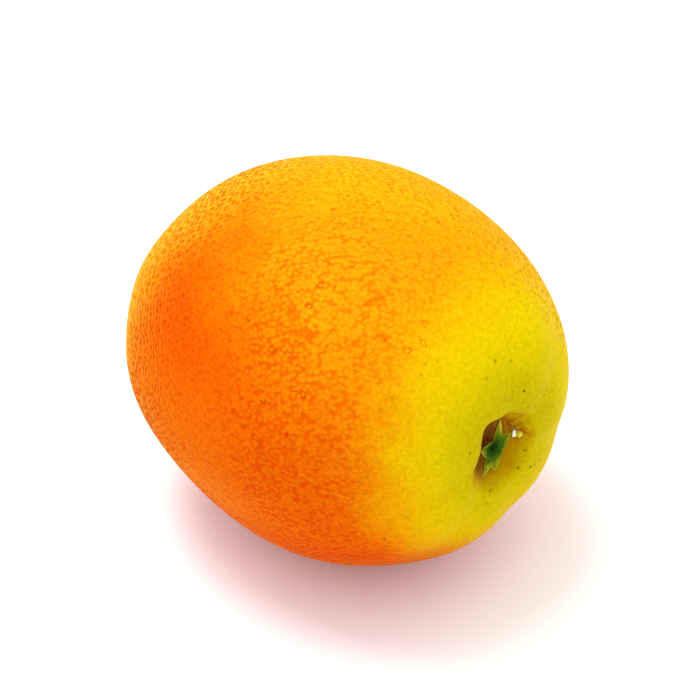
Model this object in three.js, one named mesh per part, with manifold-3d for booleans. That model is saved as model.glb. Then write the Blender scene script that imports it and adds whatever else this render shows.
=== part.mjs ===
// A whole oval orange lying on its side: the fruit, the five-lobed calyx in its stem pit, and a bead of
// dried sap. Millimetres, +Z up. The stem end looks along +X, and the flat spot that the fruit rests on
// is at the origin. Bearings are angles about the stem axis, from +Y towards +Z.

import * as THREE from "three";
import { ConvexGeometry } from "three/addons/geometries/ConvexGeometry.js";
import { mergeVertices } from "three/addons/utils/BufferGeometryUtils.js";
import Module from "manifold-3d";

const wasm = await Module();
wasm.setup();

const { degToRad: radians, lerp, smoothstep, seededRandom } = THREE.MathUtils;

// The fruit is an ovoid about its stem axis, a little squarer at the stem end than at the blossom end.
const HALF_WIDTH = 39;
const STEM_LENGTH = 45.4; // from the widest place to the stem end, before it sinks in
const BLOSSOM_LENGTH = 47.2;
const STEM_SQUARENESS = 2.13; // exponent of the outline: 2 is an ellipse, more is squarer
const BLOSSOM_SQUARENESS = 2.03;
const BLOSSOM_DROOP = new THREE.Vector3(0, -2.8, -2.5); // the blossom end grew a little off the axis
const FLAT_SPOT_DEPTH = 0.3; // what lying on it takes off the underside
const AXIS_HEIGHT = HALF_WIDTH - FLAT_SPOT_DEPTH;

// Shallow furrows between broad lobes run from end to end, with a slight twist, and deepen at the shoulder.
const FURROWS = 7;
const FURROW_BEARING = radians(-3);
const FURROW_TWIST = 0.34; // radians, from the widest place to the stem end
const FURROW_DEPTH = 0.35;
const SHOULDER_DEPTH = 0.6;
const SHOULDER_REACH = 16; // distance from the stem axis where the furrows are deepest

// The stem end sinks in a wide bowl, with a steep oval pit in it, a little off the axis.
const BOWL_DEPTH = 3.5;
const BOWL_RADIUS = 14;
const PIT_DEPTH = 4.6;
const PIT_LONG_RADIUS = 7.7; // to where the wall is about half way up
const PIT_SHORT_RADIUS = 6.2;
const PIT_STEEPNESS = 4;
const PIT_BEARING = radians(88); // of the long way across
const PIT_Y = 0.4;
const PIT_Z = 1;
const PIT_FLOOR_X = STEM_LENGTH - BOWL_DEPTH - PIT_DEPTH;

// The blossom end has a shallow hollow with the scar of the flower's style in it.
const SCAR_HOLLOW_RADIUS = 5;
const SCAR_HOLLOW_DEPTH = 0.9;
const SCAR_RADIUS = 1.9;
const SCAR_HEIGHT = 0.6;

// The rind is pebbled by its oil glands, here about three times their real size. One point of the mesh
// is the top of each pebble, and the points where three pebbles meet are the low ones.
const PEBBLES = 1800;
const PEBBLE_RISE = 0.24;
const PEBBLE_UNEVENNESS = 0.16; // how much higher or lower a point may be than the even pattern
const PEBBLE_SCATTER = 0.012; // how far a pebble strays from the even spiral, on a sphere of radius 1
const PEBBLE_SEED = 7;
const SMOOTH_STEM_END = [6, 24]; // pebbles fade in between these distances from the stem axis
const SMOOTH_UNDERSIDE = [7, 12]; // and from the middle of the flat spot

// Mesh points near each end are drawn towards it, so that the pit and the scar get small facets.
const STEM_CROWDING = { share: 0.55, angle: 0.5 };
const BLOSSOM_CROWDING = { share: 0.6, angle: 0.2 };

// The calyx is a green button on the pit floor, with the scar of the cut stem and five sepals that curl up.
const CLEARANCE = 0.4; // of the calyx and the bead from the rind
const BUTTON_RADIUS = 2.3;
const BUTTON_HEIGHT = 2.5;
const STEM_SCAR_RADIUS = 1.1;
const STEM_SCAR_DEPTH = 0.5;
const SEPAL_THICKNESS = 0.75; // in the middle; the margins have 0.8 of it
const SEPAL_TIP = 0.14; // share of a sepal's width that is left at its blunt tip
const SEPAL_ROOT = 1.2; // distance from the axis where a sepal starts, well inside the button
const SEPAL_HEIGHT = 1.7; // of the root, over the underside of the button
const SEPAL_STATIONS = 8;
const SEPALS = [
  { bearing: 80, reach: 6.8, width: 2.5, lift: 0.5 },
  { bearing: 152, reach: 5.2, width: 2.3, lift: 1.1 },
  { bearing: 224, reach: 5.4, width: 2.4, lift: 1.4 },
  { bearing: 271, reach: 5.3, width: 2.2, lift: 0.8 },
  { bearing: 20, reach: 4.1, width: 2.3, lift: 0.3 },
];

// The sap bead sits on the pit's wall.
const SAP_BEARING = radians(8);
const SAP_FROM_AXIS = 6.2;
const SAP_HEIGHT = 1.3;
const SAP_WIDTH = 1.5;
const SAP_LENGTH = 2.1;

const COLOURS = { fruit: 0xf57a08, calyx: 0x3f6a16, sap_bead: 0xe6d23c };
const ROUGHNESS = { fruit: 0.45, calyx: 0.6, sap_bead: 0.15 };

// ---- Solids and geometries ----

function solidOf(geometry) {
  const bare = geometry.clone();
  bare.deleteAttribute("normal");
  bare.deleteAttribute("uv");
  const merged = mergeVertices(bare, 1e-3);
  return new wasm.Manifold(
    new wasm.Mesh({
      numProp: 3,
      vertProperties: new Float32Array(merged.attributes.position.array),
      triVerts: new Uint32Array(merged.index.array),
    }),
  );
}

function geometryOf(solid) {
  const mesh = solid.getMesh();
  const geometry = new THREE.BufferGeometry();
  geometry.setAttribute("position", new THREE.BufferAttribute(mesh.vertProperties, 3));
  geometry.setIndex(new THREE.BufferAttribute(mesh.triVerts, 1));
  return geometry;
}

// Closes a row of rings of equal length into one skin, with a fan over the first and the last ring.
function loft(rings) {
  const sides = rings[0].length;
  const faces = [];
  for (let r = 0; r + 1 < rings.length; r++) {
    for (let s = 0; s < sides; s++) {
      const a = r * sides + s;
      const b = r * sides + ((s + 1) % sides);
      faces.push(a, b, b + sides, a, b + sides, a + sides);
    }
  }
  const last = (rings.length - 1) * sides;
  for (let s = 1; s + 1 < sides; s++) faces.push(0, s + 1, s, last, last + s, last + s + 1);
  return new THREE.BufferGeometry().setFromPoints(rings.flat()).setIndex(faces);
}

// ---- The fruit ----

// The pebbles' tops, as directions from the middle: an even spiral, with a seeded stray for each.
function pebbleTops() {
  const golden = Math.PI * (3 - Math.sqrt(5));
  seededRandom(PEBBLE_SEED);
  const stray = () => PEBBLE_SCATTER * (2 * seededRandom() - 1);
  return Array.from({ length: PEBBLES }, (_, i) => {
    const x = 1 - (2 * i + 1) / PEBBLES;
    const ring = Math.sqrt(1 - x * x);
    const top = new THREE.Vector3(x, ring * Math.cos(golden * i), ring * Math.sin(golden * i));
    return top.add(new THREE.Vector3(stray(), stray(), stray())).normalize();
  });
}

// The low points, one between every three pebbles that touch: a hull of the tops has a face for each.
function pebbleLows(tops) {
  const faces = new ConvexGeometry(tops).attributes.position;
  return Array.from({ length: faces.count / 3 }, (_, i) => {
    const low = new THREE.Vector3();
    for (const corner of [0, 1, 2]) low.add(new THREE.Vector3().fromBufferAttribute(faces, 3 * i + corner));
    return low.normalize();
  });
}

function ovoidPlace(direction) {
  const along = Math.abs(direction.x) / (direction.x > 0 ? STEM_LENGTH : BLOSSOM_LENGTH);
  const across = Math.hypot(direction.y, direction.z) / HALF_WIDTH;
  const power = lerp(BLOSSOM_SQUARENESS, STEM_SQUARENESS, smoothstep(direction.x, -0.5, 0.5));
  return direction.clone().multiplyScalar((along ** power + across ** power) ** (-1 / power));
}

// A wave about the stem axis: 1 in the middle of a furrow and -1 on the middle of a lobe.
function furrowWave(place) {
  const bearing = Math.atan2(place.z, place.y);
  return Math.cos(FURROWS * (bearing - FURROW_BEARING + (FURROW_TWIST * place.x) / STEM_LENGTH));
}

// How much of their relief the pebbles and furrows have at a place: none on the flat spot.
function undersideShare(place) {
  return smoothstep(Math.hypot(place.x, place.y, place.z + HALF_WIDTH), ...SMOOTH_UNDERSIDE);
}

function stemEndShare(place) {
  return place.x > 0 ? smoothstep(Math.hypot(place.y, place.z), ...SMOOTH_STEM_END) : 1;
}

// How far a place is from the pit's middle, as a share of the pit's radius in that direction.
function shareOfPitRadius(place) {
  const alongPit = (place.y - PIT_Y) * Math.cos(PIT_BEARING) + (place.z - PIT_Z) * Math.sin(PIT_BEARING);
  const acrossPit = (place.z - PIT_Z) * Math.cos(PIT_BEARING) - (place.y - PIT_Y) * Math.sin(PIT_BEARING);
  return Math.hypot(alongPit / PIT_LONG_RADIUS, acrossPit / PIT_SHORT_RADIUS);
}

function stemHollowDepth(place) {
  const fromAxis = Math.hypot(place.y, place.z);
  const bowl = BOWL_DEPTH * Math.exp(-((fromAxis / BOWL_RADIUS) ** 2));
  const pit = PIT_DEPTH * Math.exp(-(shareOfPitRadius(place) ** PIT_STEEPNESS));
  const alongFurrow = (fromAxis / SHOULDER_REACH) ** 2 * Math.exp(1 - (fromAxis / SHOULDER_REACH) ** 2);
  const acrossFurrow = ((1 + furrowWave(place)) / 2) ** 2;
  return bowl + pit + SHOULDER_DEPTH * acrossFurrow * alongFurrow;
}

function blossomHollowDepth(place) {
  const fromAxis = Math.hypot(place.y, place.z);
  const hollow = SCAR_HOLLOW_DEPTH * Math.exp(-((fromAxis / SCAR_HOLLOW_RADIUS) ** 2));
  return hollow - SCAR_HEIGHT * (1 - smoothstep(fromAxis, 0.5 * SCAR_RADIUS, SCAR_RADIUS));
}

// The rind's point in a direction from the fruit's middle, raised by a rise for its pebble.
function rindPoint(direction, pebbleRise) {
  const place = ovoidPlace(direction);
  const end = place.x / (place.x > 0 ? STEM_LENGTH : BLOSSOM_LENGTH);
  const lobeRise = -FURROW_DEPTH * furrowWave(place) * (1 - end ** 2);
  const rise = undersideShare(place) * (lobeRise + stemEndShare(place) * pebbleRise);
  const point = place.clone().addScaledVector(direction, rise);
  point.x += place.x > 0 ? -stemHollowDepth(place) : blossomHollowDepth(place);
  return place.x > 0 ? point : point.addScaledVector(BLOSSOM_DROOP, end ** 2);
}

function crowded(direction) {
  const crowding = direction.x > 0 ? STEM_CROWDING : BLOSSOM_CROWDING;
  const angle = Math.acos(Math.abs(direction.x));
  const drawn = angle * (1 - crowding.share * Math.exp(-((angle / crowding.angle) ** 2)));
  const aside = new THREE.Vector3(0, direction.y, direction.z).setLength(Math.sin(drawn));
  return aside.setX(Math.sign(direction.x) * Math.cos(drawn));
}

function fruitGeometry() {
  const tops = pebbleTops();
  const keyOf = (point) => point.toArray().map((value) => value.toFixed(5)).join();
  const topKeys = new Set(tops.map(keyOf));
  const hull = new ConvexGeometry([...tops, ...pebbleLows(tops)]);
  hull.deleteAttribute("normal");
  const skin = mergeVertices(hull, 1e-5);
  const points = skin.attributes.position;
  for (let i = 0; i < points.count; i++) {
    const direction = new THREE.Vector3().fromBufferAttribute(points, i);
    const evenRise = topKeys.has(keyOf(direction)) ? PEBBLE_RISE : -PEBBLE_RISE / 2;
    const rise = evenRise + PEBBLE_UNEVENNESS * (2 * seededRandom() - 1);
    points.setXYZ(i, ...rindPoint(crowded(direction.normalize()), rise));
  }
  skin.translate(0, 0, AXIS_HEIGHT);
  const table = new THREE.BoxGeometry(HALF_WIDTH, HALF_WIDTH, HALF_WIDTH).translate(0, 0, -HALF_WIDTH / 2);
  return geometryOf(solidOf(skin).subtract(solidOf(table)));
}

// ---- The calyx, made on its own ground plane with its axis along +Z and bearing 0 along +X ----

// One sepal: a pointed blade with a keel, a little wider past its root, that curls up towards its tip.
function sepalGeometry({ bearing, reach, width, lift }) {
  const rings = Array.from({ length: SEPAL_STATIONS + 1 }, (_, i) => {
    const t = i / SEPAL_STATIONS;
    const outline = (1 - t ** 2) * (0.8 + 0.5 * Math.sin(Math.PI * t));
    const half = (width / 2) * Math.max(SEPAL_TIP, outline);
    const out = lerp(SEPAL_ROOT, reach, t);
    const middle = SEPAL_HEIGHT + lift * t ** 2;
    const edge = middle + 0.1 * width * (1 - t); // the margins turn up a little
    return [
      new THREE.Vector3(out, -half, edge - 0.4 * SEPAL_THICKNESS),
      new THREE.Vector3(out, 0, middle - 0.5 * SEPAL_THICKNESS),
      new THREE.Vector3(out, half, edge - 0.4 * SEPAL_THICKNESS),
      new THREE.Vector3(out, half, edge + 0.4 * SEPAL_THICKNESS),
      new THREE.Vector3(out, 0, middle + 0.5 * SEPAL_THICKNESS),
      new THREE.Vector3(out, -half, edge + 0.4 * SEPAL_THICKNESS),
    ];
  });
  return loft(rings).rotateZ(radians(bearing));
}

function calyxGeometry() {
  const profile = [
    [0, 0],
    [0.65 * BUTTON_RADIUS, 0],
    [BUTTON_RADIUS, 0.5 * BUTTON_HEIGHT],
    [BUTTON_RADIUS, 0.7 * BUTTON_HEIGHT],
    [STEM_SCAR_RADIUS + 0.3, BUTTON_HEIGHT],
    [STEM_SCAR_RADIUS, BUTTON_HEIGHT],
    [0, BUTTON_HEIGHT - STEM_SCAR_DEPTH],
  ];
  const points = profile.map(([radius, height]) => new THREE.Vector2(radius, height));
  const button = new THREE.LatheGeometry(points, 20).rotateX(Math.PI / 2);
  const parts = [button, ...SEPALS.map(sepalGeometry)].map(solidOf);
  return geometryOf(parts.reduce((whole, part) => whole.add(part)));
}

// ---- The sap bead ----

// A seat on the rind near the stem: the point at a bearing and a distance from the axis, and its normal.
function stemEndSeat(bearing, fromAxis) {
  const pointAt = (y, z) => rindPoint(new THREE.Vector3(STEM_LENGTH, y, z).normalize(), 0);
  const y = fromAxis * Math.cos(bearing);
  const z = fromAxis * Math.sin(bearing);
  const step = 0.5;
  const alongY = pointAt(y + step, z).sub(pointAt(y - step, z));
  const alongZ = pointAt(y, z + step).sub(pointAt(y, z - step));
  return { point: pointAt(y, z), normal: alongY.cross(alongZ).normalize() };
}

function sapBead() {
  const { point, normal } = stemEndSeat(SAP_BEARING, SAP_FROM_AXIS);
  const drop = new THREE.SphereGeometry(0.5, 14, 10).scale(SAP_LENGTH, SAP_WIDTH, SAP_HEIGHT);
  const bead = pieceOf("sap_bead", drop);
  bead.position.copy(point).addScaledVector(normal, SAP_HEIGHT / 2 + CLEARANCE);
  bead.position.z += AXIS_HEIGHT;
  bead.quaternion.setFromUnitVectors(new THREE.Vector3(0, 0, 1), normal);
  return bead;
}

// ---- Assembly ----

function pieceOf(name, geometry) {
  const finish = { color: COLOURS[name], roughness: ROUGHNESS[name], metalness: 0 };
  const mesh = new THREE.Mesh(geometry, new THREE.MeshStandardMaterial(finish));
  mesh.name = name;
  return mesh;
}

const orange = new THREE.Group();
orange.add(pieceOf("fruit", fruitGeometry()));

// This group's ground plane is just over the pit floor, its Z is the stem axis and its X is the fruit's +Y.
const stemEnd = new THREE.Group();
stemEnd.position.set(PIT_FLOOR_X + CLEARANCE, 0, AXIS_HEIGHT);
stemEnd.quaternion.setFromRotationMatrix(
  new THREE.Matrix4().makeBasis(
    new THREE.Vector3(0, 1, 0),
    new THREE.Vector3(0, 0, 1),
    new THREE.Vector3(1, 0, 0),
  ),
);
stemEnd.add(pieceOf("calyx", calyxGeometry()));
orange.add(stemEnd);
orange.add(sapBead());

export default orange;
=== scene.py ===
"""An oval orange lying on its side: its pebbled rind, the calyx in its stem pit and a drop of dried sap.

The stem axis is +X, the flat spot that the fruit rests on is at the origin, and +Z is up. Shapes are worked
out in millimetres and turned to metres when a mesh is made. Bearings are angles about the stem axis, from
+Y towards +Z.
"""

import math
from types import SimpleNamespace

import bmesh
import bpy
import numpy as np
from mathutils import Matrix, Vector


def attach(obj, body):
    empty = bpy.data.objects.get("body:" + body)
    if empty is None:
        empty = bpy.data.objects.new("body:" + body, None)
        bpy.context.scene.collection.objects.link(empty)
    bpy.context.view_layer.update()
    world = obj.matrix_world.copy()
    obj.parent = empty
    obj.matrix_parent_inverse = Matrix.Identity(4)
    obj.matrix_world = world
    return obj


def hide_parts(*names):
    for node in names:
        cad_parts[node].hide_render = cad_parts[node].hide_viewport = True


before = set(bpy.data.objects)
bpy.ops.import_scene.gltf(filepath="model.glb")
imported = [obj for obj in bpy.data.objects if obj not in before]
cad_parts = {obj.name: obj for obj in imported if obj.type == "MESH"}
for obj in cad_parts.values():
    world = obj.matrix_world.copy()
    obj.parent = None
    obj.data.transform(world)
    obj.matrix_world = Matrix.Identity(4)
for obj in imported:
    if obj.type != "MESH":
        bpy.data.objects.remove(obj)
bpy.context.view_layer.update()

MM = 0.001

# ---- The fruit's shape, with the same sizes as its solid ----

HALF_WIDTH = 39
STEM_LENGTH = 45.4  # from the widest place to the stem end, before it sinks in
BLOSSOM_LENGTH = 47.2
STEM_SQUARENESS = 2.13  # exponent of the outline: 2 is an ellipse, more is squarer
BLOSSOM_SQUARENESS = 2.03
SQUARENESS_TURNS = (-0.5, 0.5)  # on a sphere of radius 1: between these the one changes to the other
BLOSSOM_DROOP = np.array([0, -2.8, -2.5])  # the blossom end grew a little off the axis
FLAT_SPOT_DEPTH = 0.3
AXIS_HEIGHT = HALF_WIDTH - FLAT_SPOT_DEPTH

FURROWS = 7
FURROW_BEARING = math.radians(-3)
FURROW_TWIST = 0.34  # radians, from the widest place to the stem end
FURROW_DEPTH = 0.35
UNFURROWED_SPOT = (7, 12)  # furrows begin between these distances from the middle of the flat spot
SHOULDER_DEPTH = 0.6
SHOULDER_REACH = 16

BOWL_DEPTH = 3.5
BOWL_RADIUS = 14
PIT_DEPTH = 4.6
PIT_LIP = (  # how far the pit reaches from its middle, by bearing
    (-158, 7.1), (-125, 7.4), (-92, 7.6), (-50, 6.7), (0, 6.2), (50, 6.7), (80, 6.7), (96, 6.6),
    (113, 7.7), (123, 8.6), (133, 7.0), (145, 6.2), (160, 5.9), (180, 6.3),
)
PIT_LIP_ROUNDING = (-7, -3.5, 0, 3.5, 7)  # degrees: the lip's reach is averaged over these bearings
PIT_STEEPNESS = 5
PIT_Y = 0.4
PIT_Z = 1
CREASE = ((-6.8, -2.3), (-7.3, -12.8))  # y and z of the ends of a shallow crease that runs out of the pit
CREASE_DEPTH = 0.5
CREASE_WIDTH = 1.6
PIT_FLOOR_X = STEM_LENGTH - BOWL_DEPTH - PIT_DEPTH

SCAR_HOLLOW_RADIUS = 5
SCAR_HOLLOW_DEPTH = 0.9
SCAR_RADIUS = 1.9
SCAR_HEIGHT = 0.6

# The rind's oil glands, 1.2 mm apart. The rind dips into a pit over each gland round the blossom end and on
# the back, stands up in a low dome over each in the middle of the front, and is smooth round the stem.
GLANDS = 14700
SPARSER = (0.1, 0.5)  # on a sphere of radius 1, from the widest place towards the blossom end: glands are
SPARSITY = 0.2  # wider apart there by this share
GLAND_SCATTER = 0.011  # how far a gland strays from the even spiral, on a sphere of radius 1
GLAND_RADIUS = 0.72
GLAND_DEPTHS = (0.4, 1.0)  # the shallowest and the deepest
USUAL_DEPTH = 0.7
PIT_OVER_GLAND = 0.14  # over the deepest
DOME_SHARE = 0.5  # how high a dome stands, as a share of a pit's depth
GLAND_SEED = 11
STEM_CROWDING = (0.4, 0.35)  # glands are smaller towards each end: share and angle
BLOSSOM_CROWDING = (0.6, 0.2)

# Directions over the rind that its zones lie along, and where a zone begins and is full, in mm along them.
STEMWARD = (0.987, 0.119, 0.108)
SUNWARD = (0.375, 0.534, 0.758)
BACKWARD = (-0.5, 0.8, 0.2)
PITTED = (6, -8)  # along STEMWARD
DOMED = (-5, 7)
DEEP_STAY_PITTED = 26  # a gland is pitted this much further towards the stem for each 1 that it is deeper
CHEEK = (30, 45)  # along SUNWARD
CHEEK_SHIFT = 10  # on the cheek both zones lie this much nearer to the blossom end
BACK_PITTED = (3, 18)  # along BACKWARD
DEEP_BACK_PITTED = 22  # and this much further to the front for each 1 that a gland is deeper
SMOOTH_STEM_END = (17, 40)  # the relief grows between these distances from the stem axis
SHADY_BEARING = math.radians(-30)  # on this side the relief starts nearer to the stem
SHADY_PEBBLING = 0.9
SMOOTH_UNDERSIDE = (4, 9)  # and from the middle of the flat spot

# Marks on the rind, each at a place along the stem axis in mm and a bearing in degrees, with a strength.
SWOLLEN_GLANDS = (
    (14.1, 126.2, 1.0), (14.4, 109.8, 0.8), (12.5, 119.1, 0.8), (31.2, 120.8, 0.8),
    (29.6, 109.8, 0.6), (31.6, 114.5, 0.6), (29.4, 134.8, 0.6), (20.0, 148.5, 0.7),
    (13.7, 155.9, 0.5), (33.8, 118.7, 0.5), (34.6, 114.9, 0.6), (10.5, 141.6, 0.5),
    (3.3, 138.2, 0.7), (27.8, 121.4, 0.4),
)
RED_FRECKLES = (
    (19.7, 163.0, 1.0), (16.0, 155.4, 0.7), (-1.0, 139.2, 0.7), (-2.9, 149.2, 0.5),
    (2.3, 146.1, 0.5), (-15.4, 176.1, 0.5), (13.5, -175.1, 0.7), (19.9, 176.1, 0.5),
    (20.9, 172.9, 0.5), (14.1, 176.4, 0.5), (12.9, 175.0, 0.5), (15.1, 171.6, 0.4),
    (19.5, 167.8, 0.4), (6.5, 164.7, 0.5), (20.9, 104.7, 0.5), (18.5, 108.0, 0.6),
)
DARK_SPECKS = (
    (41.2, 66, 0.9), (41.5, -35.5, 0.9), (41.9, -43.9, 0.8), (41.3, -53, 0.8), (42, -40.5, 0.7),
    (39.9, -51, 0.7), (41.9, 150.3, 0.9), (41.9, -111.9, 0.6), (34.8, -154.6, 1.0),
    (40.9, 60.7, 0.7),
)
FOLDS = (  # from one place to another
    ((10.3, 129.8), (12.3, 130.8)),
    ((12.5, 135.0), (16.8, 132.4)),
    ((21.1, 115.4), (22.3, 111.7)),
    ((26.5, 121.9), (27.2, 120.8)),
)
FOLD_WIDTH = 0.7
FOLD_DEPTH = 0.12
SWOLLEN_HEIGHT = 0.2
FAINT_FRECKLES = (0.02, 0.5)  # of all other glands: the share that has one, and the strongest
FAINT_SPECKS = (0.05, 0.6)  # of those round the stem
SPECKS_FROM_X = 25


def smoothstep(value, low, high):
    share = np.clip((value - low) / (high - low), 0, 1)
    return share * share * (3 - 2 * share)


def ovoid_places(directions):
    """Where rays from the fruit's middle meet the even ovoid."""
    end = np.where(directions[:, 0] > 0, STEM_LENGTH, BLOSSOM_LENGTH)
    along = np.abs(directions[:, 0]) / end
    across = np.hypot(directions[:, 1], directions[:, 2]) / HALF_WIDTH
    turn = smoothstep(directions[:, 0], *SQUARENESS_TURNS)
    power = BLOSSOM_SQUARENESS + (STEM_SQUARENESS - BLOSSOM_SQUARENESS) * turn
    return directions * ((along**power + across**power) ** (-1 / power))[:, None]


def furrow_waves(places):
    """1 in the middle of a furrow and -1 on the middle of a lobe."""
    bearings = np.arctan2(places[:, 2], places[:, 1])
    return np.cos(FURROWS * (bearings - FURROW_BEARING + FURROW_TWIST * places[:, 0] / STEM_LENGTH))


def shares_of_pit_radius(places):
    """How far places are from the middle of the pit, as a share of the way to its lip."""
    y, z = places[:, 1] - PIT_Y, places[:, 2] - PIT_Z
    bearings, reaches = np.array(PIT_LIP).T
    looks = np.degrees(np.arctan2(z, y))[:, None] + PIT_LIP_ROUNDING
    return np.hypot(y, z) / np.interp(looks, bearings, reaches, period=360).mean(axis=1)


def crease_shares(places):
    """1 where the crease leaves the pit, and 0 at its far end and away from it."""
    start, end = np.array(CREASE)
    along = np.clip((places[:, 1:] - start) @ (end - start) / np.sum((end - start) ** 2), 0, 1)
    away = np.linalg.norm(places[:, 1:] - start - along[:, None] * (end - start), axis=1)
    return (1 - along) * np.exp(-((away / CREASE_WIDTH) ** 2))


def stem_hollow_depths(places):
    from_axis = np.hypot(places[:, 1], places[:, 2])
    bowl = BOWL_DEPTH * np.exp(-((from_axis / BOWL_RADIUS) ** 2))
    pit = PIT_DEPTH * np.exp(-(shares_of_pit_radius(places) ** PIT_STEEPNESS))
    shoulder = (from_axis / SHOULDER_REACH) ** 2 * np.exp(1 - (from_axis / SHOULDER_REACH) ** 2)
    furrowed = ((1 + furrow_waves(places)) / 2) ** 2
    return bowl + pit + CREASE_DEPTH * crease_shares(places) + SHOULDER_DEPTH * furrowed * shoulder


def blossom_hollow_depths(places):
    from_axis = np.hypot(places[:, 1], places[:, 2])
    hollow = SCAR_HOLLOW_DEPTH * np.exp(-((from_axis / SCAR_HOLLOW_RADIUS) ** 2))
    return hollow - SCAR_HEIGHT * (1 - smoothstep(from_axis, 0.5 * SCAR_RADIUS, SCAR_RADIUS))


def pebbled_shares(places):
    """How much of their relief the glands have: little round the stem, and none on the flat spot."""
    from_axis = np.hypot(places[:, 1], places[:, 2])
    shady_side = 0.5 + 0.5 * np.cos(np.arctan2(places[:, 2], places[:, 1]) - SHADY_BEARING)
    from_spot = np.linalg.norm(places + [0, 0, HALF_WIDTH], axis=1)
    stem_end = smoothstep(from_axis * (1 + SHADY_PEBBLING * shady_side**2), *SMOOTH_STEM_END)
    stem_end = np.where(places[:, 0] > 0, stem_end, 1)
    return stem_end * smoothstep(from_spot, *SMOOTH_UNDERSIDE)


def rind_points(directions, rises):
    """The rind's points in directions from the fruit's middle, raised by rises where it is pebbled."""
    places = ovoid_places(directions)
    stem_side = places[:, 0] > 0
    ends = places[:, 0] / np.where(stem_side, STEM_LENGTH, BLOSSOM_LENGTH)
    from_spot = np.linalg.norm(places + [0, 0, HALF_WIDTH], axis=1)
    lobes = -FURROW_DEPTH * furrow_waves(places) * (1 - ends**2) * smoothstep(from_spot, *UNFURROWED_SPOT)
    relief = lobes + pebbled_shares(places) * rises
    points = places + directions * relief[:, None]
    points[:, 0] += np.where(stem_side, -stem_hollow_depths(places), blossom_hollow_depths(places))
    points += np.where(stem_side, 0, ends**2)[:, None] * BLOSSOM_DROOP
    points[:, 2] = np.maximum(points[:, 2] + AXIS_HEIGHT, 0)
    return points


def crowded(directions):
    """Draws directions towards the nearer end of the stem axis."""
    angles = np.arccos(np.clip(np.abs(directions[:, 0]), 0, 1))
    drawn = angles.copy()
    for side, (share, reach) in ((1, STEM_CROWDING), (-1, BLOSSOM_CROWDING)):
        here = side * directions[:, 0] > 0
        drawn[here] *= 1 - share * np.exp(-((angles[here] / reach) ** 2))
    aside = directions[:, 1:] / np.maximum(np.linalg.norm(directions[:, 1:], axis=1), 1e-9)[:, None]
    along = np.sign(directions[:, 0]) * np.cos(drawn)
    return np.column_stack([along, aside * np.sin(drawn)[:, None]])


def unit(vectors):
    return vectors / np.linalg.norm(vectors, axis=1)[:, None]


# ---- Making meshes ----


def mesh_object(name, points, faces, attributes=None):
    """A smooth-shaded object from points in millimetres.

    Attributes are {name: (domain, values)}, with a number or a vector for each point or each face.
    """
    mesh = bpy.data.meshes.new(name)
    mesh.from_pydata([tuple(p) for p in np.asarray(points, float) * MM], [], [tuple(f) for f in faces])
    for attribute, (domain, values) in (attributes or {}).items():
        values = np.asarray(values, float)
        kind, field = ("FLOAT", "value") if values.ndim == 1 else ("FLOAT_VECTOR", "vector")
        mesh.attributes.new(attribute, kind, domain).data.foreach_set(field, values.ravel())
    mesh.shade_smooth()
    piece = bpy.data.objects.new(name, mesh)
    bpy.context.scene.collection.objects.link(piece)
    return piece


def gland_directions(rng):
    """An even spiral from the stem end to the blossom end, a little scattered."""
    numbers = np.arange(GLANDS)
    places = np.linspace(1, -1, 401)
    density = 1 - SPARSITY * smoothstep(-places, *SPARSER)
    passed = np.cumsum(density) / density.sum()
    x = np.interp((numbers + 0.5) / GLANDS, passed, places)
    ring = np.sqrt(1 - x * x)
    turn = math.pi * (3 - math.sqrt(5)) * numbers
    tops = np.column_stack([x, ring * np.cos(turn), ring * np.sin(turn)])
    return unit(tops + rng.uniform(-GLAND_SCATTER, GLAND_SCATTER, tops.shape))


def gland_skin(glands):
    """Joins the glands with ridges, which have a corner between every three glands and a saddle between two.

    Returns the directions of all glands, corners and saddles, the triangles, and the gland that each triangle
    is on.
    """
    skin = bmesh.new()
    for gland in glands:
        skin.verts.new(gland)
    bmesh.ops.convex_hull(skin, input=skin.verts)
    skin.verts.index_update()
    skin.faces.index_update()
    directions = np.array([v.co for v in skin.verts])
    corners = np.array([[v.index for v in f.verts] for f in skin.faces])
    edges = np.array([[*(v.index for v in e.verts), *(f.index for f in e.link_faces)] for e in skin.edges])
    skin.free()
    tops = unit(directions[corners].sum(axis=1))
    saddles = unit(directions[edges[:, :2]].sum(axis=1) + 0.5 * tops[edges[:, 2:]].sum(axis=1))
    first_top = len(directions)
    first_saddle = first_top + len(tops)
    a, b = edges[:, 0], edges[:, 1]
    f, g = first_top + edges[:, 2], first_top + edges[:, 3]
    s = first_saddle + np.arange(len(edges))
    triangles = np.concatenate([np.column_stack(t) for t in ((a, f, s), (a, s, g), (b, s, f), (b, g, s))])
    joined = np.concatenate([directions, tops, saddles])
    p, q, r = (joined[triangles[:, k]] for k in range(3))
    inward = np.einsum("ij,ij->i", np.cross(q - p, r - p), p) < 0
    triangles[inward] = triangles[inward][:, [0, 2, 1]]
    return joined, triangles, np.concatenate([a, a, b, b])


def marks(places_and_strengths, glands):
    """The strength of a mark on each gland: 0 for all but those nearest to the marks' places."""
    strengths = np.zeros(len(glands))
    for x, bearing, strength in places_and_strengths:
        strengths[nearest(glands, x, bearing)] = strength
    return strengths


def nearest(points, x, bearing):
    """The number of the point nearest to a place along the stem axis and a bearing in degrees."""
    bearing = math.radians(bearing)
    bearings = np.arctan2(points[:, 2] - AXIS_HEIGHT, points[:, 1])
    aside = 2 * HALF_WIDTH * np.sin((bearings - bearing) / 2)
    return np.argmin(np.hypot(points[:, 0] - x, aside))


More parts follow.
